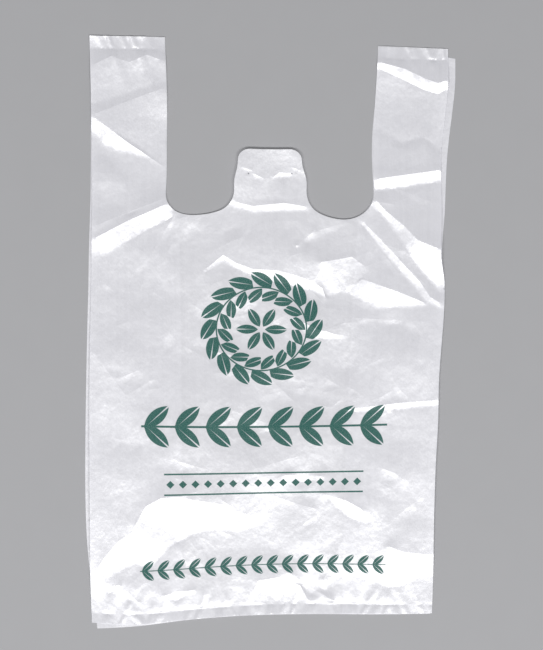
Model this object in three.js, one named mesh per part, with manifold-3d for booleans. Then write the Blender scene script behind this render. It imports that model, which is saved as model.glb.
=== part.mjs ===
// Plastic vest carrier, lying flat and empty.
// One blown film tube with its sides folded in as gussets. It is welded across the bottom and across the
// handle tops, and the mouth with its hanging tab is cut out through all of its layers at once.
// Millimetres, +Z up, +Y towards the handles. The origin is at the middle of the underside.

import * as THREE from 'three';
import { mergeVertices } from 'three/addons/utils/BufferGeometryUtils.js';
import Module from 'manifold-3d';

// Bag
const bagWidth = 280;
const bagLength = 480;
const gussetDepth = 75; // outer fold to inner fold, on each side
const filmThickness = 0.025;
const layerPitch = 0.6; // the underside of one layer to the underside of the next

// Welds. Past each one the layers run on to the cut edge as a loose skirt.
const weldWidth = 3;
const gussetWeldWidth = 2; // along the middle of the weld, between the two halves of each gusset
const bottomSkirt = 7;
const handleSkirt = 9;
const skirtGap = 0.015; // between two layers of a skirt
const gatherLength = 28; // over which the layers draw together towards a weld

// Mouth
const handleWidth = 61;
const mouthDepth = 144; // handle top to the lowest point of the cut
const notchRise = 21; // how far up the round bottom of a notch reaches
const tabHeight = 54; // above the lowest point of the cut
const tabTopWidth = 54;
const tabBaseWidth = 60;
const tabCornerRadius = 10;

// Pin holes, where a block of bags was held
const pinSpacing = 37;
const pinDrop = 22; // below the top of the tab
const pinDiameter = 1.2;

// Fineness
const foldSegments = 5; // to a half turn of film
const gatherSteps = 5;
const notchSegments = 20;
const pinSegments = 14;
const cutMargin = 5; // how far a cut runs past what it cuts

// Film layers are numbered from 0, the back panel, to 3, the front panel. The two between are gusset.
const stackHeight = 3 * layerPitch + filmThickness;
const closed = skirtGap / (layerPitch - filmThickness);
const handleTop = bagLength / 2;
const bottomEdge = -bagLength / 2;
const bottomWeldTop = bottomEdge + bottomSkirt + weldWidth;
const handleWeldBottom = handleTop - handleSkirt - weldWidth;

const wasm = await Module();
wasm.setup();

function toSolid(geometry) {
  const bare = geometry.clone();
  bare.deleteAttribute('normal');
  bare.deleteAttribute('uv');
  const merged = mergeVertices(bare);
  return new wasm.Manifold(
    new wasm.Mesh({
      numProp: 3,
      vertProperties: merged.attributes.position.array,
      triVerts: new Uint32Array(merged.index.array),
    }),
  );
}

function toGeometry(solid) {
  const mesh = solid.getMesh();
  const geometry = new THREE.BufferGeometry();
  geometry.setAttribute('position', new THREE.BufferAttribute(mesh.vertProperties, mesh.numProp));
  geometry.setIndex(new THREE.BufferAttribute(mesh.triVerts, 1));
  geometry.computeVertexNormals();
  return geometry;
}

// Across the bag, where the film turns back on itself. A fold is half a turn from one layer to the next.
const outerFoldX = bagWidth / 2 - (layerPitch + filmThickness) / 2;
const innerFoldX = bagWidth / 2 - gussetDepth + (layerPitch + filmThickness) / 2;

// One face of the film, all round the flattened tube. The outer and the inner face turn round the same six
// folds, and each face is the wide one at some folds and the narrow one at the others.
function filmFace(outerFoldRadius, innerFoldRadius) {
  const [backFoldZ, gussetFoldZ, frontFoldZ] = [0, 1, 2].map(
    (layer) => layer * layerPitch + (layerPitch + filmThickness) / 2,
  );
  const down = -Math.PI / 2;
  const up = Math.PI / 2;
  const face = new THREE.Shape();
  face.absarc(outerFoldX, backFoldZ, outerFoldRadius, down, up, false);
  face.absarc(innerFoldX, gussetFoldZ, innerFoldRadius, down, up, true);
  face.absarc(outerFoldX, frontFoldZ, outerFoldRadius, down, up, false);
  face.absarc(-outerFoldX, frontFoldZ, outerFoldRadius, up, down, false);
  face.absarc(-innerFoldX, gussetFoldZ, innerFoldRadius, up, down, true);
  face.absarc(-outerFoldX, backFoldZ, outerFoldRadius, up, down, false);
  face.closePath();
  return face;
}

// Height in the stack once the gaps between the layers are narrowed to the share of them that is open.
function gatheredHeight(z, open) {
  const layer = Math.floor(z / layerPitch);
  const above = z - layer * layerPitch;
  const gap = open * (layerPitch - filmThickness);
  return (
    layer * (filmThickness + gap) + Math.min(above, filmThickness) + open * Math.max(above - filmThickness, 0)
  );
}

// A face of the film drawn along the bag, through stations of { y, open } in order from the bottom.
function alongBag(face, stations) {
  const steps = stations.length - 1;
  const geometry = new THREE.ExtrudeGeometry(face, {
    depth: steps,
    steps,
    curveSegments: foldSegments,
    bevelEnabled: false,
  });
  const position = geometry.attributes.position;
  for (let i = 0; i < position.count; i++) {
    const station = stations[Math.round(position.getZ(i))];
    // The face is drawn in x and z and steps along y. It is mirrored in x to keep its outside out.
    position.setXYZ(i, -position.getX(i), station.y, gatheredHeight(position.getY(i), station.open));
  }
  return toSolid(geometry);
}

// How the layers part, from one weld to the other.
function betweenWelds() {
  const opening = [];
  for (let step = 0; step <= gatherSteps; step++) {
    const along = step / gatherSteps;
    const open = closed + (1 - closed) * THREE.MathUtils.smoothstep(along, 0, 1);
    opening.push({ away: along * gatherLength, open });
  }
  return [
    ...opening.map(({ away, open }) => ({ y: bottomWeldTop + away, open })),
    ...opening.reverse().map(({ away, open }) => ({ y: handleWeldBottom - away, open })),
  ];
}

// The film tube, solid at its two welds and hollow between them and in its skirts.
function weldedTube() {
  const wide = (layerPitch + filmThickness) / 2;
  const narrow = (layerPitch - filmThickness) / 2;
  const outside = filmFace(wide, narrow);
  const inside = filmFace(narrow, wide);
  const parting = betweenWelds();
  const edges = [bottomEdge, handleTop].map((y) => ({ y, open: closed }));
  const skirts = [
    [bottomEdge - cutMargin, bottomEdge + bottomSkirt],
    [handleTop - handleSkirt, handleTop + cutMargin],
  ];
  let tube = alongBag(outside, [edges[0], ...parting, edges[1]]);
  tube = tube.subtract(alongBag(inside, parting));
  for (const skirt of skirts) {
    tube = tube.subtract(alongBag(inside, skirt.map((y) => ({ y, open: closed }))));
  }
  return tube;
}

// What a weld fills between the two halves of each gusset.
function gussetWeld(y) {
  const low = gatheredHeight(layerPitch + filmThickness / 2, closed);
  const high = gatheredHeight(2 * layerPitch + filmThickness / 2, closed);
  const band = new THREE.BoxGeometry(2 * outerFoldX, gussetWeldWidth, high - low);
  band.translate(0, y, (low + high) / 2);
  return toSolid(band);
}

// A plate of the cut's outline, through the whole stack.
function throughCut(outline, segments) {
  const plate = new THREE.ExtrudeGeometry(outline, {
    depth: stackHeight + 2 * cutMargin,
    curveSegments: segments,
    bevelEnabled: false,
  });
  plate.translate(0, 0, -cutMargin);
  return toSolid(plate);
}

// Outline of what is cut away between the handles: down the left one, round each notch and over the tab.
function mouthOutline() {
  const mouthX = bagWidth / 2 - handleWidth;
  const notchX = (mouthX + tabBaseWidth / 2) / 2;
  const notchHalfWidth = (mouthX - tabBaseWidth / 2) / 2;
  const notchTopY = handleTop - mouthDepth + notchRise;
  const tabTopY = handleTop - mouthDepth + tabHeight;
  const shoulderX = tabTopWidth / 2;
  const shoulderY = tabTopY - tabCornerRadius;
  const middleY = (notchTopY + shoulderY) / 2;
  const cornerX = shoulderX - tabCornerRadius;
  const outline = new THREE.Shape();
  outline.moveTo(mouthX, handleTop + cutMargin);
  outline.lineTo(-mouthX, handleTop + cutMargin);
  outline.absellipse(-notchX, notchTopY, notchHalfWidth, notchRise, -Math.PI, 0, false);
  outline.bezierCurveTo(-tabBaseWidth / 2, middleY, -shoulderX, middleY, -shoulderX, shoulderY);
  outline.absarc(-cornerX, shoulderY, tabCornerRadius, Math.PI, Math.PI / 2, true);
  outline.absarc(cornerX, shoulderY, tabCornerRadius, Math.PI / 2, 0, true);
  outline.bezierCurveTo(shoulderX, middleY, tabBaseWidth / 2, middleY, tabBaseWidth / 2, notchTopY);
  outline.absellipse(notchX, notchTopY, notchHalfWidth, notchRise, -Math.PI, 0, false);
  outline.closePath();
  return outline;
}

function pinOutline(x) {
  const pinY = handleTop - mouthDepth + tabHeight - pinDrop;
  return new THREE.Shape().absarc(x, pinY, pinDiameter / 2, 0, 2 * Math.PI, false);
}

function bagFilm() {
  let film = weldedTube();
  film = film.add(gussetWeld(bottomWeldTop - weldWidth / 2));
  film = film.add(gussetWeld(handleWeldBottom + weldWidth / 2));
  film = film.subtract(throughCut(mouthOutline(), notchSegments));
  for (const x of [-pinSpacing / 2, pinSpacing / 2]) {
    film = film.subtract(throughCut(pinOutline(x), pinSegments / 2));
  }
  const mesh = new THREE.Mesh(
    toGeometry(film),
    new THREE.MeshStandardMaterial({ color: 0xdfe0e6, roughness: 0.3, metalness: 0 }),
  );
  mesh.name = 'bag_film';
  return mesh;
}

const group = new THREE.Group();
group.add(bagFilm());

export default group;
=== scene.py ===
import math

import bpy
import numpy as np
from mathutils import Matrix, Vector
from mathutils.geometry import delaunay_2d_cdt
from mathutils.kdtree import KDTree


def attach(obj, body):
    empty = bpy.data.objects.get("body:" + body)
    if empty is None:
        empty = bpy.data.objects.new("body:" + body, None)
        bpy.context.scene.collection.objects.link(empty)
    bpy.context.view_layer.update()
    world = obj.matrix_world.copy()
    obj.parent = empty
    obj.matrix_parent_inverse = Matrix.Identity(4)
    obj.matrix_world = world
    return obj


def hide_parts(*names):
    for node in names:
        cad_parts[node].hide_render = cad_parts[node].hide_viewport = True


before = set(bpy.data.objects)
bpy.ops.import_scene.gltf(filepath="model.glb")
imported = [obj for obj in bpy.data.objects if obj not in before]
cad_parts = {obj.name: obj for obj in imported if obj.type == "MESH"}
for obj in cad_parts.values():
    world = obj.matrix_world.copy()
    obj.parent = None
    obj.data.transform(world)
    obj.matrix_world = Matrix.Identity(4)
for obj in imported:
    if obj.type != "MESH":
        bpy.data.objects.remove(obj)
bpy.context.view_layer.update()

mm = 0.001  # the film is drawn in millimetres and scaled where its mesh is written

# The film as it is cut and welded, flat and square. u runs across the bag and v along it.
bag = {
    "width": 280,
    "length": 480,
    "gussetDepth": 75,
    "handleWidth": 61,
    "mouthDepth": 144,
    "notchRise": 21,
    "tabHeight": 54,
    "tabTopWidth": 54,
    "tabBaseWidth": 60,
    "tabCornerRadius": 10,
    "pinSpacing": 37,
    "pinDrop": 22,
    "pinDiameter": 1.2,
    "bottomWeld": 8.5,  # from the cut edge to the middle of the weld
    "handleWeld": 10.5,
    "stackHeight": 1.1,  # back panel to front panel, where the film lies flat
    "weldHeight": 0.15,
    "area": 0.37,  # square metres of film, once the mouth is cut out
}

halfWidth = bag["width"] / 2
halfLength = bag["length"] / 2
innerFold = halfWidth - bag["gussetDepth"]
bottomWeld = -halfLength + bag["bottomWeld"]
handleWeld = halfLength - bag["handleWeld"]
notchTop = halfLength - bag["mouthDepth"] + bag["notchRise"]
tabTop = halfLength - bag["mouthDepth"] + bag["tabHeight"]
mouthSide = halfWidth - bag["handleWidth"]
tabFoot = bag["tabBaseWidth"] / 2
notchMiddle = (mouthSide + tabFoot) / 2
notchHalf = (mouthSide - tabFoot) / 2

# The unrolled film is a panel and two gusset halves, twice over. Its folds lie where each of them starts.
halfAround = bag["width"] + 2 * bag["gussetDepth"]
folds = [0, bag["width"], bag["width"] + bag["gussetDepth"]]
folds += [halfAround + fold for fold in folds]
around = 2 * halfAround


def arc(centre, radii, start, end, steps):
    turn = np.linspace(start, end, steps + 1)
    return [(centre[0] + radii[0] * math.cos(a), centre[1] + radii[1] * math.sin(a)) for a in turn]


def mouthEdge():
    # from the top of the right handle down, round the right notch, over the tab and up the left handle
    shoulder = bag["tabTopWidth"] / 2
    corner = bag["tabCornerRadius"]
    shoulderTop = tabTop - corner
    middle = (notchTop + shoulderTop) / 2
    right = [(mouthSide, halfLength)]
    right += arc((notchMiddle, notchTop), (notchHalf, bag["notchRise"]), 0, -math.pi, 28)
    for t in np.linspace(0, 1, 9)[1:-1]:
        blend = (1 - t) ** 3 + 3 * (1 - t) ** 2 * t  # a cubic whose handles stand straight up
        v = (1 - t) ** 3 * notchTop + 3 * (1 - t) * t * middle + t**3 * shoulderTop
        right.append((blend * tabFoot + (1 - blend) * shoulder, v))
    right += arc((shoulder - corner, shoulderTop), (corner, corner), 0, math.pi / 2, 8)
    return right + [(-u, v) for u, v in reversed(right)]


def gussetCut():
    # the part of the mouth's edge that runs through the right gusset, from the handle top down
    edge = [(mouthSide, halfLength)]
    swing = math.acos((innerFold - notchMiddle) / notchHalf)
    edge += arc((notchMiddle, notchTop), (notchHalf, bag["notchRise"]), 0, -swing, 14)
    return edge


def stepAlong(points, spacing, closed=False):
    # the same line with a point at least every spacing
    ends = points[1:] + points[:1] if closed else points[1:]
    line = []
    for (u0, v0), (u1, v1) in zip(points, ends):
        count = max(1, math.ceil(math.hypot(u1 - u0, v1 - v0) / spacing - 1e-6))
        line += [(u0 + (u1 - u0) * i / count, v0 + (v1 - v0) * i / count) for i in range(count)]
    return line if closed else line + [points[-1]]


# How it was laid down: points of the flat film, and where each one lies.
lay = {
    "front": [
        ((-140, 240), (-142.5, 239.6)), ((-140, 200), (-141.5, 199.5)), ((-140, 150), (-140.7, 150.5)),
        ((-140, 100), (-140.4, 102)), ((-140, 42), (-141, 42)), ((-140, -8), (-142, -8)),
        ((-140, -60), (-142.6, -58)), ((-140, -125), (-142.4, -125)), ((-140, -170), (-142, -169)),
        ((-140, -206), (-141.6, -205.6)), ((-140, -240), (-140.6, -237)),
        ((-79, 240), (-81.2, 238.4)), ((-79, 200), (-79.8, 199.5)), ((-79, 150), (-79.7, 150)),
        ((-79, 117), (-80.5, 113.4)), ((-54.5, 96), (-56.4, 93.9)),
        ((-40, 100), (-35, 98.3)), ((-30, 117), (-25, 116.5)), ((-27, 140), (-21.9, 139.4)),
        ((-17, 150), (-11.5, 147.6)), ((17, 150), (19.5, 147.2)),
        ((27, 140), (29.8, 138.8)), ((30, 117), (33.8, 116.3)), ((40, 100), (42, 96.5)),
        ((54.5, 96), (62.5, 90.2)), ((79, 117), (89, 113.4)), ((79, 150), (88.2, 147)),
        ((79, 200), (89.9, 193.5)), ((79, 240), (91.7, 231.1)),
        ((140, 240), (148.6, 228.8)), ((140, 207), (148.6, 198.6)), ((140, 148), (143, 141)),
        ((140, 100), (143.5, 94)), ((140, 60), (143.2, 58)), ((140, 42), (145.6, 41)),
        ((140, 15), (145.2, 12.7)), ((140, -17), (142.9, -16.5)), ((140, -42), (141.2, -40.8)),
        ((140, -75), (140.6, -72.5)), ((140, -110), (138.8, -105.8)), ((140, -160), (137.2, -155.3)),
        ((140, -212), (136.4, -205.6)), ((140, -240), (135.6, -229.4)),
        ((-100, -240), (-100.6, -238.4)), ((-63, -240), (-63.3, -234.8)), ((-14, -240), (-13.8, -230.9)),
        ((40, -240), (39, -229.6)), ((90, -240), (87.5, -229.9)),
    ],
    # How far the back panel has slid from under the front.
    "slip": [
        ((-140, 240), (0.8, -1.5)), ((-79, 240), (-2, -1.5)), ((-79, 150), (-2.2, 0)),
        ((-79, 117), (-1.2, 0)), ((-140, 150), (-0.6, 0)), ((-140, 60), (-2.2, 0)),
        ((-140, -60), (-2.9, 0)), ((-140, -170), (-2.6, 0)), ((-140, -240), (4.5, -4.8)),
        ((-100, -240), (1, -1.2)), ((0, -240), (0, -0.5)), ((140, -240), (-1.8, -0.4)),
        ((140, -100), (-1.2, 0)), ((140, 20), (-0.6, 0)), ((140, 90), (1.8, 0)),
        ((140, 150), (5, -0.5)), ((140, 207), (5.6, -2)), ((140, 240), (6, -8)),
        ((79, 240), (1.5, -2.5)), ((79, 150), (-1.4, 0)), ((79, 117), (-0.8, 0)),
        ((0, 150), (0.6, -0.7)), ((0, 60), (0, 0)), ((0, -80), (0, 0)),
    ],
}


def bentThrough(pins):
    # a thin plate bent through the pins gives every point of the film a smooth place
    at = np.array([p for p, _ in pins], float) / 100
    to = np.array([q for _, q in pins], float)

    def pull(points):
        squared = ((points[:, None] - at[None]) ** 2).sum(2)
        flat = np.column_stack([np.ones(len(points)), points])
        return np.hstack([squared * np.log(squared + 1e-12), flat])

    system = np.zeros((len(at) + 3, len(at) + 3))
    system[: len(at)] = pull(at)
    system[len(at):, : len(at)] = system[: len(at), len(at):].T
    weights = np.linalg.solve(system, np.vstack([to, np.zeros((3, 2))]))
    return lambda points: pull(np.asarray(points, float) / 100) @ weights


layFront = bentThrough(lay["front"])
slideBack = bentThrough(lay["slip"])


def inFilm(points):
    # where on the flat film a point of the lying one is
    target = np.array(points, float)
    film = target.copy()
    for _ in range(12):
        film += target - layFront(film)
    return np.round(film, 2)


meshing = {
    "frontSpacing": 1.75,  # between the points of the front panel's mesh
    "seamSpacing": 1.2,  # the same, close to the welds
    "innerSpacing": 6,  # the same, for the back panel and the gussets
    "edgeSpacing": 2,
    "seamReach": 16,  # how far from a weld still counts as close
    "merge": 0.05,  # points closer than this become one
    "lineClearance": 0.45,  # how near a crease may come to the cut edge, as a share of the spacing
    "gridClearance": 0.62,  # how near a scattered point may come to a line
    "rowStep": 0.866,
    "shake": 0.14,
    "pinSides": 10,
    "seed": 7,
}


def inside(points, loop):
    # the even-odd rule, for many points at once
    within = np.zeros(len(points), bool)
    u, v = points[:, 0], points[:, 1]
    for (u0, v0), (u1, v1) in zip(loop, loop[1:] + loop[:1]):
        if v0 != v1:
            within ^= ((v0 > v) != (v1 > v)) & (u < (u1 - u0) * (v - v0) / (v1 - v0) + u0)
    return within


def nearestOn(points, line):
    # distance to a line of straight stretches, and the nearest place on it
    best = np.full(len(points), np.inf)
    place = np.zeros((len(points), 2))
    line = np.asarray(line, float)
    if len(line) == 1:
        line = np.vstack([line, line + 1e-6])
    for start, end in zip(line[:-1], line[1:]):
        along = end - start
        t = np.clip(((points - start) @ along) / max(along @ along, 1e-9), 0, 1)
        spot = start + t[:, None] * along
        away = np.linalg.norm(points - spot, axis=1)
        closer = away < best
        best[closer] = away[closer]
        place[closer] = spot[closer]
    return best, place


def scatter(loop, spacing, region):
    # staggered rows, shaken a little, inside the loop and the region
    us = np.arange(-halfWidth, halfWidth, spacing)
    vs = np.arange(-halfLength, halfLength, spacing * meshing["rowStep"])
    u, v = np.meshgrid(us, vs)
    u = u + (np.arange(len(vs)) % 2)[:, None] * spacing / 2
    rng = np.random.default_rng(meshing["seed"])
    grid = np.column_stack([u.ravel(), v.ravel()])
    grid += rng.uniform(-meshing["shake"], meshing["shake"], grid.shape) * spacing
    grid = grid[region(grid[:, 0], grid[:, 1])]
    return grid[inside(grid, loop)]


def nearSeam(u, v):
    reach = meshing["seamReach"]
    return (np.abs(v - bottomWeld) < reach) | (np.abs(v - handleWeld) < reach)


def nearby(points):
    # a tree that finds the nearest of the points
    tree = KDTree(len(points))
    for i, (u, v) in enumerate(points):
        tree.insert((u, v, 0), i)
    tree.balance()
    return tree


def pinHoles(outline):
    radius = bag["pinDiameter"] / 2
    holes = []
    for u in (-bag["pinSpacing"] / 2, bag["pinSpacing"] / 2):
        hole = arc((u, tabTop - bag["pinDrop"]), (radius, radius), 0, 2 * math.pi, meshing["pinSides"])[:-1]
        if inside(np.array([hole[0]]), outline)[0]:
            holes.append(hole)
    return holes


def twiceArea(a, b, c):
    # of many triangles, positive where the corners run anticlockwise
    return (b[:, 0] - a[:, 0]) * (c[:, 1] - a[:, 1]) - (b[:, 1] - a[:, 1]) * (c[:, 0] - a[:, 0])


def panelMesh(outline, spacing, lines=(), seamSpacing=None):
    # triangles over one panel, with an edge along every line: its points, triangles and the ridges' edges
    holes = pinHoles(outline)
    points, edges, ridges = [], [], set()
    for loop in [stepAlong(outline, meshing["edgeSpacing"], closed=True)] + holes:
        first = len(points)
        points += loop
        edges += [(first + i, first + (i + 1) % len(loop)) for i in range(len(loop))]
    rim = nearby(points)
    clearance = meshing["lineClearance"] * spacing
    for isRidge, line in lines:
        stepped = np.array(stepAlong([tuple(p) for p in line], spacing))
        kept = inside(stepped, outline)
        kept &= np.array([rim.find((u, v, 0))[2] > clearance for u, v in stepped])
        last = None
        for (u, v), keep in zip(stepped, kept):
            if not keep:
                last = None
                continue
            points.append((u, v))
            if last is not None:
                if isRidge:
                    ridges.add(len(edges))
                edges.append((last, len(points) - 1))
            last = len(points) - 1
    taken = nearby(points)
    grids = [(spacing, lambda u, v: np.ones(len(u), bool))]
    if seamSpacing:
        grids = [(spacing, lambda u, v: ~nearSeam(u, v)), (seamSpacing, nearSeam)]
    for gap, region in grids:
        clearance = meshing["gridClearance"] * gap
        points += [(u, v) for u, v in scatter(outline, gap, region) if taken.find((u, v, 0))[2] > clearance]
    made = delaunay_2d_cdt([Vector(p) for p in points], edges, [], 0, meshing["merge"], True)
    flat = np.array([(p.x, p.y) for p in made[0]])
    triangles = np.array(made[2])
    middles = flat[triangles].mean(1)
    kept = inside(middles, outline)
    for hole in holes:
        kept &= ~inside(middles, hole)
    sharp = [made[1][i] for i, origin in enumerate(made[4]) if not ridges.isdisjoint(origin)]
    return flat, triangles[kept], sharp


# The creases that show, in millimetres where the film lies. Between a crease's foot and its ridge the film
# leans up by "lean", and "soft" is how much of that it loses towards the foot.
creases = {
    "left handle, upper field": {
        "ridge": [(-139, 216), (-125, 223), (-110, 218), (-96, 224), (-82, 219)],
        "foot": [(-139, 184), (-113.5, 192), (-82, 202.5)],
        "lean": 0.035, "soft": 0,
    },
    "left handle, over the fan": {
        "ridge": [(-139, 176), (-113.5, 185.5), (-82, 197)],
        "foot": [(-139, 184), (-113.5, 192), (-82, 202.5)],
        "lean": 0.1,
    },
    "left handle, the fan": {
        "ridge": [(-139, 176), (-113.5, 185.5), (-82, 197)],
        "foot": [(-139, 171), (-111, 154), (-82, 134.5)],
        "lean": 0.06,
    },
    "left handle, broad fold": {
        "ridge": [(-139, 173.5), (-111, 152.5), (-82, 133)],
        "foot": [(-139, 146.5), (-111, 136), (-82, 127)],
        "lean": 0.2, "soft": 0.1,
    },
    "left notch, back of the crease": {
        "ridge": [(-80, 103), (-109.5, 90), (-138, 75)],
        "foot": [(-81, 107), (-109.5, 93.5), (-138, 79.5)],
        "lean": 0.12,
    },
    "left notch, front of the crease": {
        "ridge": [(-80, 103), (-109.5, 90), (-138, 75)],
        "foot": [(-75.5, 92), (-103, 77.5), (-132.5, 60)],
        "lean": 0.15, "soft": 0.5,
    },
    "left notch, thin crease": {"ridge": [(-82, 107.5), (-138, 85)], "foot": [(-109.5, 95)], "lean": 0.1},
    "right handle, top": {
        "ridge": [(93, 218), (113.5, 212.5), (130, 204.5), (140.5, 201), (147, 203)],
        "foot": [(93, 212.5), (113, 203.5), (129, 195.5), (140.5, 192), (147, 196)],
        "lean": 0.27, "soft": 0.3,
    },
    "right handle, upper field": {
        "ridge": [(93, 212.5), (113, 203.5), (129, 195.5), (140.5, 192), (147, 196)],
        "foot": [(92, 163), (112, 152), (128, 157), (142, 147)],
        "lean": 0.065, "soft": 0,
    },
    "right handle, across": {
        "ridge": [(90.5, 123), (117.5, 127), (142, 130.5)],
        "foot": [(90.5, 113.5), (117.5, 116.5), (142, 121)],
        "lean": 0.16, "soft": 0.35,
    },
    "right handle, upper diagonal": {
        "ridge": [(91, 186.5), (117.5, 190.5)],
        "foot": [(104.5, 185.5)],
        "lean": 0.1,
    },
    "right handle, lower diagonal": {"ridge": [(91, 170), (122, 185)], "foot": [(108, 174)], "lean": 0.1},
    "right notch, wide fold": {
        "ridge": [(90.5, 105.5), (99, 96.5), (113, 85), (124, 73.5), (141, 66.5)],
        "foot": [(91, 99), (108, 77), (124, 52.5), (142, 31.5)],
        "lean": 0.22, "soft": 0.4,
    },
    "right notch, thin crease": {"ridge": [(78, 89.5), (95, 73.5)], "foot": [(85, 80)], "lean": 0.09},
    "right side, long ridge": {
        "ridge": [(80.5, 87.5), (104.5, 63), (125, 40.5), (134, 27.5), (142, 22.5)],
        "foot": [(79.5, 85), (100.5, 59), (120, 36.5), (130.5, 23.5), (142, 17.5)],
        "lean": 0.16, "soft": 0.5,
    },
    "right side, patch": {
        "ridge": [(44.5, 55.5), (70.5, 60), (80.5, 52.5)],
        "foot": [(50.5, 27.5), (64, 31.5), (78, 42)],
        "lean": 0.135, "soft": 0.4,
    },
    "right side, wedge": {
        "ridge": [(78.5, 42), (100, 34.5), (130, 22.5)],
        "foot": [(65.5, 30.5), (91.5, 17.5), (107, 19), (130, 19)],
        "lean": 0.14, "soft": 0.5,
    },
    "upper ridge": {
        "ridge": [
            (-48.5, 49.5), (-34, 61.5), (-23.5, 55), (-10, 50), (9, 49), (23.5, 45.5), (37.5, 40.5),
            (46.5, 34.5), (49.5, 26.5),
        ],
        "foot": [
            (-48.5, 47.5), (-34, 56), (-22, 50), (-9.5, 44.5), (8, 39.5), (26, 35.5), (39, 32), (48, 26.5),
        ],
        "lean": 0.165, "soft": 0.3,
    },
    "over the upper ridge": {"ridge": [(26, 68.5), (40, 81)], "foot": [(35, 71)], "lean": 0.11},
    "middle": {
        "ridge": [(22, 10.5), (33.5, 5.5), (44.5, 0.5), (59.5, -3.5)],
        "foot": [(22, 8), (31, 0.5), (40, -6), (59, -7)],
        "lean": 0.13, "soft": 0.4,
    },
    "middle, right": {"ridge": [(70.5, 10.5), (130.5, 7)], "foot": [(101.5, 4.5)], "lean": 0.05},
    "right edge, narrow": {
        "ridge": [(64, -64.5), (83, -62), (107, -59), (139.5, -56.5)],
        "foot": [(64, -66), (83, -65), (107, -63.5), (139.5, -60.5)],
        "lean": 0.13, "soft": 0.2,
    },
    "left edge, soft": {
        "ridge": [(-139, -17.5), (-113.5, -52), (-93.5, -88.5)],
        "foot": [(-139, -33.5), (-124, -64.5), (-104.5, -94.5)],
        "lean": 0.02,
    },
    "middle, soft": {"ridge": [(-27, -64.5), (12, -79)], "foot": [(-12, -80.5)], "lean": 0.04},
    "lower strip": {"ridge": [(15.5, -117), (46.5, -118)], "foot": [(31, -123)], "lean": 0.14, "soft": 0.3},
    "lower wedge": {
        "ridge": [(47, -132.5), (65, -137.5), (77, -144), (87, -152)],
        "foot": [(53, -137.5), (65, -149), (75.5, -154.5), (86, -154.5)],
        "lean": 0.15, "soft": 0.2,
    },
    "chevron": {
        "ridge": [
            (-138, -196.5), (-131.5, -185.5), (-119.5, -171.5), (-108, -163.5), (-101.5, -150.5),
            (-96.5, -142.5), (-84.5, -136), (-70.5, -135), (-57, -137.5), (-32.5, -141.5), (-19.5, -148),
            (0, -152),
        ],
        "foot": [
            (-130.5, -202.5), (-117.5, -195), (-105.5, -190), (-93.5, -192.5), (-78.5, -176.5),
            (-61, -166.5), (-48.5, -162), (-26, -158.5), (-12, -159.5), (0, -153.5),
        ],
        "lean": 0.145, "soft": 0.3,
    },
    "bottom right": {
        "ridge": [(100, -175), (112, -179.5), (135, -182)],
        "foot": [(91, -204), (100.5, -209), (113, -206.5), (135, -196)],
        "lean": 0.11, "soft": 0.45,
    },
    "bottom dome": {
        "ridge": [(-10, -212), (-5.5, -203), (13, -200), (28.5, -207), (35, -218.5)],
        "foot": [(-6.5, -219), (4, -220), (18.5, -220), (31.5, -219.5)],
        "lean": 0.115, "soft": 0.3,
    },
    "bottom streak": {
        "ridge": [(18.5, -196), (38, -209), (55, -219)],
        "foot": [(36.5, -213)],
        "lean": 0.16, "soft": 0.3,
    },
    "bottom short streak": {
        "ridge": [(46.5, -201.5), (53.5, -216)],
        "foot": [(47, -210.5)],
        "lean": 0.2, "soft": 0.3,
    },
    "bottom left, upper": {"ridge": [(-134, -209), (-117, -206.5)], "foot": [(-126, -213)], "lean": 0.13},
    "bottom left, lower": {"ridge": [(-112, -212), (-102.5, -221)], "foot": [(-110.5, -219.5)], "lean": 0.13},
    "bottom left, flat": {
        "ridge": [(-83, -215.5), (-70.5, -212), (-57.5, -210.5)],
        "foot": [(-72, -219.5)],
        "lean": 0.12,
    },
    "tab": {
        "ridge": [(-17, 148), (0, 149), (22, 148)],
        "foot": [(-25, 108), (0, 106), (32, 106)],
        "lean": 0.035, "soft": 0,
    },
    "tab base": {
        "ridge": [(-28.5, 105.5), (-10, 101), (15.5, 103.5), (33.5, 100.5)],
        "foot": [(-27, 101), (-9.5, 95.5), (14, 96.5), (32.5, 97)],
        "lean": 0.18, "soft": 0.5,
    },
    "tab, left": {"ridge": [(-19.5, 133), (-9, 129.5)], "foot": [(-14.5, 129)], "lean": 0.26, "soft": 0.3},
    "tab, left of the middle": {
        "ridge": [(-10.5, 128), (0, 123)],
        "foot": [(-6.5, 123)],
        "lean": 0.26, "soft": 0.3,
    },
    "tab, right": {
        "ridge": [(5.5, 124), (12, 128.5), (27, 127)],
        "foot": [(15.5, 124)],
        "lean": 0.26, "soft": 0.3,
    },
    "tab, thin": {"ridge": [(18.5, 133.5), (29, 130)], "foot": [(25, 129.5)], "lean": 0.24, "soft": 0.3},
    "left notch, fan": {"ridge": [(-72, 95.5), (-91, 64)], "foot": [(-77, 78.5)], "lean": 0.06},
    "left notch, short fan": {"ridge": [(-58.5, 89), (-48.5, 73.5)], "foot": [(-56, 80)], "lean": 0.05},
}

# Short folds from handling, scattered all over the front panel.
handling = {
    "count": 190,
    "acrossBag": (-132, 134),  # where their middles may lie
    "alongBag": (-222, 224),
    "directions": (-35, -12, 8, 30, 75),  # in degrees
    "wander": 14,
    "length": (12, 60),
    "shorten": (0.5, 1),
    "width": (4, 13),
    "widest": 0.3,  # as a share of the length
    "bend": 0.07,
    "footShift": 0.3,
    "lean": (0.03, 0.105),
    "limits": (138, 230),  # a fold that reaches past these is left out
    "seed": 8,
}


def heading(degrees):
    # the direction along an angle, and the one to its left
    angle = math.radians(degrees)
    along = np.array([math.cos(angle), math.sin(angle)])
    return along, np.array([-along[1], along[0]])


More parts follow.
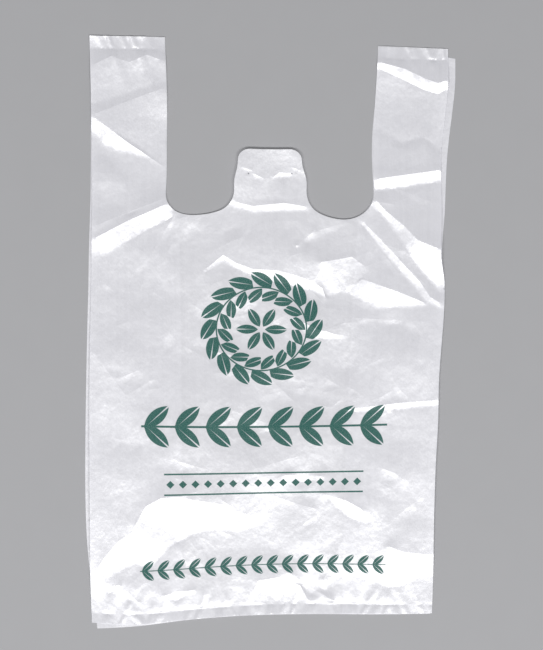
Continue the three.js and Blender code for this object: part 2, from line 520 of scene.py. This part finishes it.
def smallCreases():
    rng = np.random.default_rng(handling["seed"])
    found = []
    while len(found) < handling["count"]:
        middle = np.array([rng.uniform(*handling["acrossBag"]), rng.uniform(*handling["alongBag"])])
        along, across = heading(rng.normal(rng.choice(handling["directions"]), handling["wander"]))
        length = rng.uniform(*handling["length"]) * rng.uniform(*handling["shorten"])
        width = min(rng.uniform(*handling["width"]), length * handling["widest"]) * rng.choice((-1, 1))
        bend = middle + across * length * rng.uniform(-handling["bend"], handling["bend"])
        ridge = [middle - along * length / 2, bend, middle + along * length / 2]
        shift = rng.uniform(-handling["footShift"], handling["footShift"])
        foot = [middle + along * length * shift + across * width]
        lean = rng.uniform(*handling["lean"])
        if (np.abs(ridge + foot) < handling["limits"]).all():
            found.append({"ridge": ridge, "foot": foot, "lean": lean})
    return found


# Where folds spread like a fan: the point they start from, and the angles between which they lie.
fans = {
    "left handle": {
        "from": (-79, 122), "angles": (158, 206), "rays": 5, "length": (45, 60), "lean": (0.03, 0.06),
    },
    "left notch": {
        "from": (-68, 95), "angles": (202, 292), "rays": 8, "length": (35, 95), "lean": (0.03, 0.07),
    },
    "right notch": {
        "from": (74, 92), "angles": (232, 322), "rays": 8, "length": (35, 85), "lean": (0.03, 0.07),
    },
    "right handle": {
        "from": (89, 122), "angles": (-28, 42), "rays": 5, "length": (38, 52), "lean": (0.03, 0.06),
    },
    "under the tab": {
        "from": (2, 104), "angles": (245, 300), "rays": 4, "length": (25, 60), "lean": (0.02, 0.05),
    },
    "chevron": {
        "from": (-84, -142), "angles": (250, 325), "rays": 8, "length": (35, 75), "lean": (0.05, 0.09),
    },
    "dome": {
        "from": (12, -228), "angles": (38, 142), "rays": 7, "length": (14, 36), "lean": (0.05, 0.1),
    },
    "upper ridge": {
        "from": (46, 30), "angles": (205, 300), "rays": 5, "length": (25, 55), "lean": (0.03, 0.07),
    },
    "left corner": {
        "from": (-132, -226), "angles": (28, 82), "rays": 5, "length": (25, 60), "lean": (0.03, 0.07),
    },
    "right corner": {
        "from": (128, -222), "angles": (98, 160), "rays": 5, "length": (25, 60), "lean": (0.03, 0.07),
    },
}
fanShape = {
    "start": 5,  # how far from the fan's point its folds begin
    "jitter": (0.2, 0.8),
    "footAt": (0.7, 0.95),  # as a share of a fold's length
    "footWidth": (0.07, 0.14),
    "seed": 10,
}


def fanCreases():
    rng = np.random.default_rng(fanShape["seed"])
    found = []
    for fan in fans.values():
        low, high = fan["angles"]
        for ray in range(fan["rays"]):
            place = (ray + rng.uniform(*fanShape["jitter"])) / fan["rays"]
            along, across = heading(low + (high - low) * place)
            across *= rng.choice((-1, 1))
            length = rng.uniform(*fan["length"])
            start = np.array(fan["from"]) + along * fanShape["start"]
            foot = start + along * length * rng.uniform(*fanShape["footAt"])
            foot += across * length * rng.uniform(*fanShape["footWidth"])
            lean = rng.uniform(*fan["lean"])
            found.append({"ridge": [start, start + along * length], "foot": [foot], "lean": lean})
    return found


# How high the front panel floats over what it lies on, and how firmly it keeps to that.
relief = {
    "restHeight": 3.2,
    "edgeHeight": 0.7,  # at the side folds
    "sideEase": 24,  # how far from a side fold the rest height is reached
    "weldEase": 130,  # the same, from a weld
    "besideWeld": 0.5,  # the share of the height that is left beside a weld
    "besideWeldEase": 60,
    "weldedHeight": 0.05,
    "weldedWithin": 0.8,  # of the middle of a weld
    "foldWithin": 0.5,  # of a side fold, where the film is held as firmly as foldReach says
    "reach": 70,  # how far a crease carries before the rest height takes over
    "foldReach": 30,
    "propReach": 5,
    "propHeight": 0.5,
    "lowest": 0.4,
    "props": 2,  # how often what has sunk too low is propped up
    "steps": 800,
    "softness": 0.55,
    "grip": 2,  # how firmly a crease holds its lean
    "namedGrip": 30,
    "swell": 0.75,
    "swellFromSide": 12,
    "swellFromWeld": 20,
    "stackEase": 110,
    "underReach": 6.5,  # how far round a point the layers under the front panel keep below it
}


def pressedCreases():
    # all the creases, as points of the flat film
    named = [{**crease, "grip": relief["namedGrip"]} for crease in creases.values()]
    found = []
    for crease in smallCreases() + fanCreases() + named:
        found.append({**crease, "ridge": inFilm(crease["ridge"]), "foot": inFilm(crease["foot"])})
    return found


def leanOf(middles, creaseList):
    # which way, and how steeply, each triangle of the front panel wants to lean
    lean = np.zeros((len(middles), 2))
    grip = np.ones(len(middles))
    for crease in creaseList:
        ridge, foot = crease["ridge"], crease["foot"]
        loop = [tuple(p) for p in ridge] + [tuple(p) for p in reversed(foot)]
        low, high = np.min(loop, 0), np.max(loop, 0)
        near = np.where(((middles > low) & (middles < high)).all(1))[0]
        near = near[inside(middles[near], loop)]
        if not len(near):
            continue
        up, top = nearestOn(middles[near], ridge)
        down, bottom = nearestOn(middles[near], foot)
        rise = top - bottom
        rise /= np.maximum(np.linalg.norm(rise, axis=1), 1e-6)[:, None]
        height = down / np.maximum(up + down, 1e-6)
        soft = crease.get("soft", relief["softness"])
        lean[near] = rise * (crease["lean"] * ((1 - soft) + soft * np.sqrt(height)))[:, None]
        grip[near] = crease.get("grip", relief["grip"])
    return lean, grip


def settle(points, triangles, lean, grip, rest, hold, start):
    # heights whose slopes come as near as they can to the leans, held towards the rest heights
    a, b, c = (points[triangles[:, k]] for k in range(3))
    twice = twiceArea(a, b, c)
    corners = []
    for near, far in ((b, c), (c, a), (a, b)):
        side = far - near
        corners.append(np.column_stack([-side[:, 1], side[:, 0]]) / twice[:, None])
    slopes = np.stack(corners, 1)
    weight = grip * np.abs(twice) / 2
    count = len(points)
    mass = np.bincount(triangles.ravel(), np.repeat(np.abs(twice) / 6, 3), count)
    held = hold * mass

    # each triangle ties its corners together, pair by pair
    starts, ends, ties = [], [], []
    for i, j in ((0, 1), (1, 2), (2, 0)):
        starts.append(triangles[:, i])
        ends.append(triangles[:, j])
        ties.append(-(slopes[:, i] * slopes[:, j]).sum(1) * weight)
    starts, ends, ties = np.concatenate(starts), np.concatenate(ends), np.concatenate(ties)

    def stiffness(z):
        pulls = ties * (z[starts] - z[ends])
        return np.bincount(starts, pulls, count) - np.bincount(ends, pulls, count) + held * z

    own = np.bincount(starts, ties, count) + np.bincount(ends, ties, count) + held
    z = start.copy()
    shares = (slopes * (lean * weight[:, None])[:, None]).sum(2)
    left = np.bincount(triangles.ravel(), shares.ravel(), count) + held * rest - stiffness(z)
    step = left / own
    push = step.copy()
    before = left @ step
    for _ in range(relief["steps"]):
        moved = stiffness(push)
        size = before / (push @ moved)
        z += size * push
        left -= size * moved
        step = left / own
        after = left @ step
        push = step + (after / before) * push
        before = after
    return z


# The small pleats beside the welds, and the skirts past them.
pleats = {
    "gap": (3, 15),  # from one pleat to the next
    "reach": (5, 22),  # how far one runs into the bag
    "slant": 0.5,
    "width": (2.5, 6),
    "height": (0.1, 1.0),
    "rise": 2.2,  # how far from the weld a pleat takes to rise
    "bulge": 0.12,  # how far the film rounds up along the whole weld
    "bulgeRise": 4,
    "bulgeReach": 26,
    "skirtLift": 0.095,  # how steeply a skirt rises past its weld
    "bottomSkirt": 0.5,  # the share of that lift at the bottom
    "seed": 9,
}


def seamPuckers(u, v):
    # beside each weld the film gathers in small pleats, and rounds up from it into the body
    rng = np.random.default_rng(pleats["seed"])
    height = np.zeros(len(u))
    wave = 0.7 + 0.5 * np.sin(u / 13 + np.cos(u / 21) * 2)
    for weld, inwards in ((bottomWeld, 1), (handleWeld, -1)):
        body = (v - weld) * inwards
        inBody = np.maximum(body, 0)
        away = 1 - np.exp(-np.abs(body) / pleats["rise"])
        middle = -halfWidth
        while middle < halfWidth:
            middle += rng.uniform(*pleats["gap"])
            reach = rng.uniform(*pleats["reach"])
            off = np.abs(u - middle - rng.uniform(-1, 1) * pleats["slant"] * body)
            width = rng.uniform(*pleats["width"]) * (1 + inBody / reach)
            top = rng.uniform(*pleats["height"]) * np.exp(-inBody / reach)
            height += top * away * np.maximum(1 - off / width, 0)
        bulge = pleats["bulge"] * (1 - np.exp(-inBody / pleats["bulgeRise"]))
        height += bulge * np.exp(-inBody / pleats["bulgeReach"]) * wave
    return height


def rippleUnder(u, v):
    # every layer of a skirt waves together
    past = np.maximum(bottomWeld - v, 0) * pleats["bottomSkirt"] + np.maximum(v - handleWeld, 0)
    wave = 1 + np.sin(u / 6.1 + np.sin(u / 15) * 2)
    swell = 0.6 + 0.4 * np.sin(u / 33 + 1)
    return past * pleats["skirtLift"] * wave * swell


def softSwell(u, v):
    # the broad, shallow unevenness that even a smooth stretch has, in three sizes
    broad = np.sin(u / 31 + v / 67 + 1.2) * np.sin(v / 43 - u / 90)
    middling = np.sin(u / 19 - v / 37 + 0.4) * np.sin(v / 24 + 2)
    fine = np.sin(u / 11 + v / 17) * np.sin(v / 13 - u / 29)
    return relief["swell"] * (broad + 0.6 * middling + 0.35 * fine)


def filmHeights(points, triangles, creaseList):
    lean, grip = leanOf(points[triangles].mean(1), creaseList)
    u, v = points[:, 0], points[:, 1]
    toSide = halfWidth - np.abs(u)
    toWeld = np.minimum(np.abs(v - bottomWeld), np.abs(v - handleWeld))

    def ease(distance, name):
        return np.clip(distance / relief[name], 0, 1)

    lifted = ease(toSide, "sideEase") * ease(toWeld, "weldEase")
    rest = relief["edgeHeight"] + (relief["restHeight"] - relief["edgeHeight"]) * lifted
    rest *= relief["besideWeld"] + (1 - relief["besideWeld"]) * ease(toWeld, "besideWeldEase")
    hold = np.full(len(points), 1 / relief["reach"] ** 2)
    hold[toSide < relief["foldWithin"]] = 1 / relief["foldReach"] ** 2
    welded = (v < bottomWeld) | (v > handleWeld) | (toWeld < relief["weldedWithin"])
    hold[welded] = 1
    rest[welded] = relief["weldedHeight"]
    heights = settle(points, triangles, lean, grip, rest, hold, rest)
    # the film can't sink into what it lies on, so it is propped up and settles again
    for _ in range(relief["props"]):
        low = heights < relief["lowest"]
        hold[low] = 1 / relief["propReach"] ** 2
        rest[low] = relief["propHeight"]
        heights = settle(points, triangles, lean, grip, rest, hold, heights)
    heights += softSwell(u, v) * ease(toSide, "swellFromSide") * ease(toWeld, "swellFromWeld")
    heights += seamPuckers(u, v)
    lowest = relief["lowest"]
    heights = np.where(heights > lowest, heights, lowest * np.exp(heights / lowest - 1))
    return heights + bag["weldHeight"] + (bag["stackHeight"] - bag["weldHeight"]) * ease(toWeld, "stackEase")


def heightsUnder(front, heights, points):
    # the lowest the front panel comes near each point, so that nothing under it shows through
    tree = nearby(front)
    found = np.empty(len(points))
    for i, (u, v) in enumerate(points):
        close = [j for _, j, _ in tree.find_range((u, v, 0), relief["underReach"])]
        found[i] = heights[close or [tree.find((u, v, 0))[1]]].min()
    return found


def makeFilm():
    corners = [(-halfWidth, -halfLength), (halfWidth, -halfLength), (halfWidth, halfLength)]
    panel = corners + mouthEdge() + [(-halfWidth, halfLength)]
    gusset = [(innerFold, -halfLength)] + corners[1:] + gussetCut()
    welds = [(False, [(-halfWidth, v), (halfWidth, v)]) for v in (bottomWeld, handleWeld)]
    pressed = pressedCreases()
    lines = list(welds)
    for crease in pressed:
        ridge = [tuple(p) for p in crease["ridge"]]
        foot = [tuple(p) for p in crease["foot"]]
        lines.append((True, ridge))
        lines.append((False, [ridge[0]] + foot + [ridge[-1]]))
    front, frontTriangles, sharp = panelMesh(panel, meshing["frontSpacing"], lines, meshing["seamSpacing"])
    print("front panel", len(front), "points", len(frontTriangles), "triangles")
    heights = filmHeights(front, frontTriangles, pressed)
    print("front panel from", round(heights.min(), 2), "to", round(heights.max(), 2), "mm")
    half, halfTriangles, _ = panelMesh(gusset, meshing["innerSpacing"], welds)
    back, backTriangles, _ = panelMesh(panel, meshing["innerSpacing"], welds)
    mirrored = half * (-1, 1)
    share = (half[:, 0] - innerFold) / bag["gussetDepth"]  # 0 at the inner fold, 1 at the outer
    upper, lower = 0.5 - 0.5 * share, 0.5 + 0.5 * share
    # once round the tube: where each panel lies along the unrolled film, and how deep in the stack
    panels = [
        (front, frontTriangles, front[:, 0] + halfWidth, np.zeros(len(front))),
        (half, halfTriangles, folds[1] + halfWidth - half[:, 0], upper),
        (half, halfTriangles, folds[2] + half[:, 0] - innerFold, lower),
        (back, backTriangles, folds[3] + halfWidth - back[:, 0], np.ones(len(back))),
        (mirrored, halfTriangles, folds[4] + mirrored[:, 0] + halfWidth, lower),
        (mirrored, halfTriangles, folds[5] - innerFold - mirrored[:, 0], upper),
    ]
    return joinPanels(panels, front, heights, sharp)


def joinPanels(panels, front, heights, sharp):
    # lays every panel in its place and joins it to its neighbours along their folds
    places, keys, faces, flats = [], [], [], []
    first = 0
    for points, triangles, along, depth in panels:
        under = heights if points is front else heightsUnder(front, heights, points)
        lying = layFront(points) + slideBack(points) * depth[:, None]
        z = (1 - depth) * under + rippleUnder(points[:, 0], points[:, 1])
        places.append(np.column_stack([lying, z]) * mm)
        unrolled = np.column_stack([along, points[:, 1] + halfLength])
        turn = twiceArea(*(unrolled[triangles[:, k]] for k in range(3)))
        triangles = np.where(turn[:, None] > 0, triangles, triangles[:, ::-1])
        flats.append(unrolled[triangles.ravel()] * mm)
        keys.append(np.column_stack([np.round(along % around, 2), np.round(points[:, 1], 2)]))
        faces.append(triangles + first)
        first += len(points)
    keys = np.vstack(keys)
    _, firsts, joined = np.unique(keys, axis=0, return_index=True, return_inverse=True)
    joined = joined.reshape(-1)
    mesh = bpy.data.meshes.new("bag_sheet")
    mesh.from_pydata(np.vstack(places)[firsts].tolist(), [], joined[np.vstack(faces)].tolist())
    unrolledMap = mesh.uv_layers.new(name="unrolled")
    unrolledMap.data.foreach_set("uv", np.vstack(flats).ravel())
    sheet = bpy.data.objects.new("bag_sheet", mesh)
    bpy.context.scene.collection.objects.link(sheet)
    markEdges(mesh, joined, sharp, keys)
    mesh.polygons.foreach_set("use_smooth", np.ones(len(mesh.polygons), bool))
    mesh.update()
    print("film", len(mesh.vertices), "points", len(mesh.polygons), "triangles")
    return sheet


def markEdges(mesh, joined, ridges, keys):
    # the ridges and the six folds stay crisp, everything else is shaded smooth
    ends = np.empty(len(mesh.edges) * 2, int)
    mesh.edges.foreach_get("vertices", ends)
    ends = np.sort(ends.reshape(-1, 2), 1)
    crisp = np.sort(joined[np.array(ridges)], 1)
    pair = (len(mesh.vertices), 1)  # gives each pair of points a number of its own
    sharp = np.isin(ends @ pair, crisp @ pair)
    spot = np.zeros(len(mesh.vertices))
    spot[joined] = keys[:, 0]
    for fold in folds:
        onFold = np.abs(spot - fold) < 0.02
        sharp |= onFold[ends[:, 0]] & onFold[ends[:, 1]]
    mesh.attributes.new("sharp_edge", "BOOLEAN", "EDGE").data.foreach_set("value", sharp)


film = makeFilm()

look = {
    "film": (0.94, 0.937, 0.975),
    "filmShade": (0.88, 0.877, 0.915),
    "ink": (0.006, 0.098, 0.078),
    "inkShade": (0.010, 0.118, 0.094),
    # from bare film to ink
    "alpha": (0.83, 0.96),
    "through": (0.2, 0.03),  # the share of the scattered light that goes on through
    "specular": (0.8, 0.12),
    "shine": (1.0, 0.03),  # the clear sheen over the milky film
    "ior": 1.51,
    "shineIor": 1.85,
    "shineRoughness": 0.27,
    "roughness": (0.34, 0.44),
    "inkRoughness": 0.5,
    # sizes of the noises, in waves to a metre
    "cloudScale": 16,
    "streakStretch": (260, 2.5),  # the lines that blowing the film leaves along it
    "glossScale": 60,
    "inkScale": 900,
    "patchyScale": 1400,
    "fineScale": 420,
    "fineStretch": (1, 0.35),
    "fineShare": 0.25,
    "crinkleScale": 130,
    "crinkleStretch": (1, 0.7),
    "bumpStrength": 0.32,
    "bumpDistance": 0.0012,
}

# The print, in metres from the middle of the front panel. A leaf has half its length and half its width.
printed = {
    "edge": 0.00022,  # how soft the ink's edge is
    "midrib": 0.03,  # how fast the bare midrib of a leaf widens
    "wreathAt": (-0.004, 0.004, 0),
    "outerLeaves": {"count": 16, "radius": 0.0405, "lean": 1.05, "leaf": (0.0112, 0.0050)},
    "innerLeaves": {"count": 16, "radius": 0.028, "lean": 2.15, "leaf": (0.0088, 0.0038)},
    "blossom": {"count": 6, "radius": 0.0112, "lean": 0, "leaf": (0.0086, 0.0038)},
    "stem": (0.0345, 0.0006),  # its radius and half its width
    "garland": {"at": -0.078, "step": 0.0245, "half": 0.098, "leaf": (0.0135, 0.0056), "spread": 0.0078},
    "border": {"at": -0.196, "step": 0.0125, "half": 0.1, "leaf": (0.0066, 0.0026), "spread": 0.0037},
    "leafLean": 0.75,
    "vine": 0.16,  # as a share of the leaf's width
    "rulesAt": (-0.117, -0.134),
    "ruleHalf": (0.08, 0.0007),
    "lozengeStep": 0.01,
    "lozengeSize": 0.0033,
}


class NodeBench:
    # a short hand for wiring one material's nodes
    def __init__(self, name):
        self.material = bpy.data.materials.new(name)
        self.material.use_nodes = True
        self.tree = self.material.node_tree
        self.shader = self.tree.nodes["Principled BSDF"]

    def add(self, kind, **settings):
        node = self.tree.nodes.new(kind)
        for key, value in settings.items():
            setattr(node, key, value)
        return node

    def feed(self, socket, value):
        if isinstance(value, bpy.types.NodeSocket):
            self.tree.links.new(value, socket)
        else:
            socket.default_value = value

    def calc(self, operation, *values):
        node = self.add("ShaderNodeMath", operation=operation)
        for socket, value in zip(node.inputs, values):
            self.feed(socket, value)
        return node.outputs[0]

    def vector(self, operation, a, b):
        node = self.add("ShaderNodeVectorMath", operation=operation)
        self.feed(node.inputs[0], a)
        self.feed(node.inputs[1], b)
        return node.outputs[0]

    def turned(self, point, angle):
        node = self.add("ShaderNodeVectorRotate", rotation_type="Z_AXIS")
        self.feed(node.inputs["Vector"], point)
        self.feed(node.inputs["Angle"], angle)
        return node.outputs[0]

    def parts(self, point):
        node = self.add("ShaderNodeSeparateXYZ")
        self.feed(node.inputs[0], point)
        return node.outputs[0], node.outputs[1]

    def joined(self, x, y):
        node = self.add("ShaderNodeCombineXYZ")
        self.feed(node.inputs[0], x)
        self.feed(node.inputs[1], y)
        return node.outputs[0]

    def ramp(self, value, low, high, start=0.0, end=1.0):
        node = self.add("ShaderNodeMapRange", interpolation_type="SMOOTHSTEP")
        for socket, number in zip(node.inputs, (value, low, high, start, end)):
            self.feed(socket, number)
        return node.outputs[0]

    def blend(self, share, low, high):
        node = self.add("ShaderNodeMix", data_type="RGBA")
        self.feed(node.inputs[0], share)
        self.feed(node.inputs[6], low)
        self.feed(node.inputs[7], high)
        return node.outputs[2]

    def noise(self, point, scale, detail=2.0, stretch=None):
        if stretch:
            mapping = self.add("ShaderNodeMapping")
            self.feed(mapping.inputs[0], point)
            mapping.inputs["Scale"].default_value = (*stretch, 1)
            point = mapping.outputs[0]
        node = self.add("ShaderNodeTexNoise")
        self.feed(node.inputs["Vector"], point)
        node.inputs["Scale"].default_value = scale
        node.inputs["Detail"].default_value = detail
        return node.outputs[0]


def inkShapes(bench, point):
    # 1 where ink lies: a wreath with a blossom in it, a garland, lozenges between two rules, and a border
    calc = bench.calc
    x, y = bench.parts(point)

    def filled(distance):
        return bench.ramp(distance, -printed["edge"], printed["edge"])

    def most(*masks):
        top = masks[0]
        for mask in masks[1:]:
            top = calc("MAXIMUM", top, mask)
        return top

    def withinHalf(value, half):
        return filled(calc("SUBTRACT", half, calc("ABSOLUTE", value)))

    def repeated(step):
        # x from the middle of each step
        return calc("MULTIPLY", calc("SUBTRACT", calc("FRACT", calc("DIVIDE", x, step)), 0.5), step)

    def leafShape(at, length, width):
        # the overlap of two circles, with a bare midrib
        radius = (length**2 + width**2) / (2 * width)
        along, across = bench.parts(at)
        across = calc("ABSOLUTE", across)
        lifted = calc("ADD", across, radius - width)
        squares = calc("ADD", calc("MULTIPLY", along, along), calc("MULTIPLY", lifted, lifted))
        blade = filled(calc("SUBTRACT", radius, calc("SQRT", squares)))
        ribWidth = calc("MULTIPLY", calc("ADD", along, length * 0.5), printed["midrib"])
        rib = filled(calc("SUBTRACT", ribWidth, across))
        return calc("MULTIPLY", blade, calc("SUBTRACT", 1, rib))

    def roundAbout(at, count, radius, lean, leaf):
        # count leaves set round a circle
        right, up = bench.parts(at)
        step = 2 * math.pi / count
        nearest = calc("ROUND", calc("DIVIDE", calc("ARCTAN2", up, right), step))
        own = bench.vector("SUBTRACT", bench.turned(at, calc("MULTIPLY", nearest, -step)), (radius, 0, 0))
        return leafShape(bench.turned(own, -lean), *leaf)

    def band(at, step, half, leaf, spread):
        # a vine across the bag, with a pair of leaves at each step
        local = repeated(step)
        height = calc("SUBTRACT", y, at)
        upper = bench.turned(bench.joined(local, calc("SUBTRACT", height, spread)), -printed["leafLean"])
        lower = bench.turned(bench.joined(local, calc("ADD", height, spread)), printed["leafLean"])
        vine = withinHalf(height, leaf[1] * printed["vine"])
        leaves = most(vine, leafShape(upper, *leaf), leafShape(lower, *leaf))
        return calc("MULTIPLY", withinHalf(x, half), leaves)

    wreathAt = bench.vector("SUBTRACT", point, printed["wreathAt"])
    outer = roundAbout(wreathAt, **printed["outerLeaves"])
    halfStep = math.pi / printed["innerLeaves"]["count"]
    inner = roundAbout(bench.turned(wreathAt, halfStep), **printed["innerLeaves"])
    blossom = roundAbout(wreathAt, **printed["blossom"])
    stemRadius, stemWidth = printed["stem"]
    away = bench.add("ShaderNodeVectorMath", operation="LENGTH")
    bench.feed(away.inputs[0], wreathAt)
    stem = withinHalf(calc("SUBTRACT", away.outputs["Value"], stemRadius), stemWidth)
    wreath = most(outer, inner, blossom, stem)
    bands = [band(**printed["garland"]), band(**printed["border"])]

    ruleHalf, ruleWidth = printed["ruleHalf"]
    rules = [withinHalf(calc("SUBTRACT", y, ruleAt), ruleWidth) for ruleAt in printed["rulesAt"]]
    local = calc("ABSOLUTE", repeated(printed["lozengeStep"]))
    height = calc("ABSOLUTE", calc("SUBTRACT", y, sum(printed["rulesAt"]) / 2))
    lozenge = filled(calc("SUBTRACT", printed["lozengeSize"], calc("ADD", local, height)))
    return most(wreath, *bands, calc("MULTIPLY", withinHalf(x, ruleHalf), most(lozenge, *rules)))


def filmMaterial():
    bench = NodeBench("milky_film")
    shader = bench.shader
    unrolled = bench.add("ShaderNodeUVMap", uv_map="unrolled").outputs[0]
    middle = (bag["width"] * mm / 2, bag["length"] * mm / 2, 0)
    ink = inkShapes(bench, bench.vector("SUBTRACT", unrolled, middle))
    patchy = bench.ramp(bench.noise(unrolled, look["patchyScale"], 3), 0.3, 0.6, 0.9, 1)
    ink = bench.calc("MULTIPLY", ink, patchy)

    def fromFilmToInk(name):
        return bench.ramp(ink, 0, 1, *look[name])

    cloud = bench.ramp(bench.noise(unrolled, look["cloudScale"], 4), 0.3, 0.7)
    streaks = bench.ramp(bench.noise(unrolled, 1, 3, stretch=look["streakStretch"]), 0.36, 0.64)
    cloud = bench.calc("ADD", bench.calc("MULTIPLY", cloud, 0.5), bench.calc("MULTIPLY", streaks, 0.5))
    filmColour = bench.blend(cloud, (*look["filmShade"], 1), (*look["film"], 1))
    inkShift = bench.noise(unrolled, look["inkScale"], 1)
    inkColour = bench.blend(inkShift, (*look["ink"], 1), (*look["inkShade"], 1))
    bench.feed(shader.inputs["Base Color"], bench.blend(ink, filmColour, inkColour))
    bench.feed(shader.inputs["Alpha"], fromFilmToInk("alpha"))

    gloss = bench.ramp(bench.noise(unrolled, look["glossScale"], 5), 0.3, 0.7, *look["roughness"])
    inkMatt = bench.calc("MULTIPLY", ink, look["inkRoughness"] - look["roughness"][1])
    bench.feed(shader.inputs["Roughness"], bench.calc("ADD", gloss, inkMatt))
    shader.inputs["IOR"].default_value = look["ior"]
    bench.feed(shader.inputs["Specular IOR Level"], fromFilmToInk("specular"))
    bench.feed(shader.inputs["Coat Weight"], fromFilmToInk("shine"))
    shader.inputs["Coat Roughness"].default_value = look["shineRoughness"]
    shader.inputs["Coat IOR"].default_value = look["shineIor"]

    fine = bench.noise(unrolled, look["fineScale"], 3, stretch=look["fineStretch"])
    crinkle = bench.noise(unrolled, look["crinkleScale"], 5, stretch=look["crinkleStretch"])
    bump = bench.add("ShaderNodeBump")
    bump.inputs["Strength"].default_value = look["bumpStrength"]
    bump.inputs["Distance"].default_value = look["bumpDistance"]
    height = bench.calc("ADD", bench.calc("MULTIPLY", fine, look["fineShare"]), crinkle)
    bench.feed(bump.inputs["Height"], height)
    bench.feed(shader.inputs["Normal"], bump.outputs[0])
    bench.feed(shader.inputs["Coat Normal"], bump.outputs[0])

    through = bench.add("ShaderNodeBsdfTranslucent")
    through.inputs["Color"].default_value = (*look["film"], 1)
    mixed = bench.add("ShaderNodeMixShader")
    bench.feed(mixed.inputs[0], fromFilmToInk("through"))
    bench.feed(mixed.inputs[1], shader.outputs[0])
    bench.feed(mixed.inputs[2], through.outputs[0])
    bench.feed(bench.tree.nodes["Material Output"].inputs["Surface"], mixed.outputs[0])
    return bench.material


film.data.materials.append(filmMaterial())
print("film material ready")
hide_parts("bag_film")
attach(film, "root")

studio = {
    "floorColour": (0.40, 0.40, 0.41),
    "floorPaler": 1.03,  # its faint grain
    "floorGrain": 40,
    "floorRoughness": 0.9,
    "floorSpecular": 0.1,
    "floorSize": 12,
    "floorDrop": 0.0002,
    "stripSize": (5.6, 1.0),
    "stripAway": 6,
    "stripTilt": 17.5,  # degrees from straight above, towards the bottom of the bag
    "stripPower": 380,
    "skyColour": (0.97, 0.98, 1.0),
    "skyStrength": 0.27,
    "frameHeight": 0.5276,  # how much the picture takes in, top to bottom, at the height of the film
    "frameCentre": (0.0053, 0.0046),
    "filmLevel": 0.003,
    "cameraAway": 6,
    "sensorWidth": 36,
}


def makeFloor():
    bpy.ops.object.select_all(action="DESELECT")
    bpy.ops.mesh.primitive_plane_add(size=studio["floorSize"], location=(0, 0, -studio["floorDrop"]))
    floor = bpy.context.object
    floor.name = "floor"
    bench = NodeBench("plain_floor")
    grain = bench.noise(bench.add("ShaderNodeTexCoord").outputs["Object"], studio["floorGrain"], 3)
    colour = studio["floorColour"]
    paler = tuple(c * studio["floorPaler"] for c in colour)
    bench.feed(bench.shader.inputs["Base Color"], bench.blend(grain, (*colour, 1), (*paler, 1)))
    bench.shader.inputs["Roughness"].default_value = studio["floorRoughness"]
    bench.shader.inputs["Specular IOR Level"].default_value = studio["floorSpecular"]
    floor.data.materials.append(bench.material)


def makeLight():
    world = bpy.data.worlds.new("studio_sky")
    bpy.context.scene.world = world
    world.use_nodes = True
    sky = world.node_tree.nodes["Background"]
    sky.inputs["Color"].default_value = (*studio["skyColour"], 1)
    sky.inputs["Strength"].default_value = studio["skyStrength"]
    tilt = math.radians(studio["stripTilt"])
    away = studio["stripAway"]
    strip = bpy.data.lights.new("strip", "AREA")
    strip.shape = "RECTANGLE"
    strip.size, strip.size_y = studio["stripSize"]
    strip.energy = studio["stripPower"]
    lamp = bpy.data.objects.new("strip", strip)
    lamp.location = (0, -away * math.sin(tilt), away * math.cos(tilt))
    lamp.rotation_euler = (-tilt, 0, 0)
    bpy.context.scene.collection.objects.link(lamp)


def makeCamera():
    camera = bpy.data.cameras.new("camera")
    camera.sensor_width = studio["sensorWidth"]
    camera.lens = camera.sensor_width * studio["cameraAway"] / studio["frameHeight"]
    eye = bpy.data.objects.new("camera", camera)
    eye.location = (*studio["frameCentre"], studio["cameraAway"] + studio["filmLevel"])
    bpy.context.scene.collection.objects.link(eye)
    bpy.context.scene.camera = eye
    bpy.context.scene.view_settings.view_transform = "Standard"


makeFloor()
makeLight()
makeCamera()
print("studio ready")
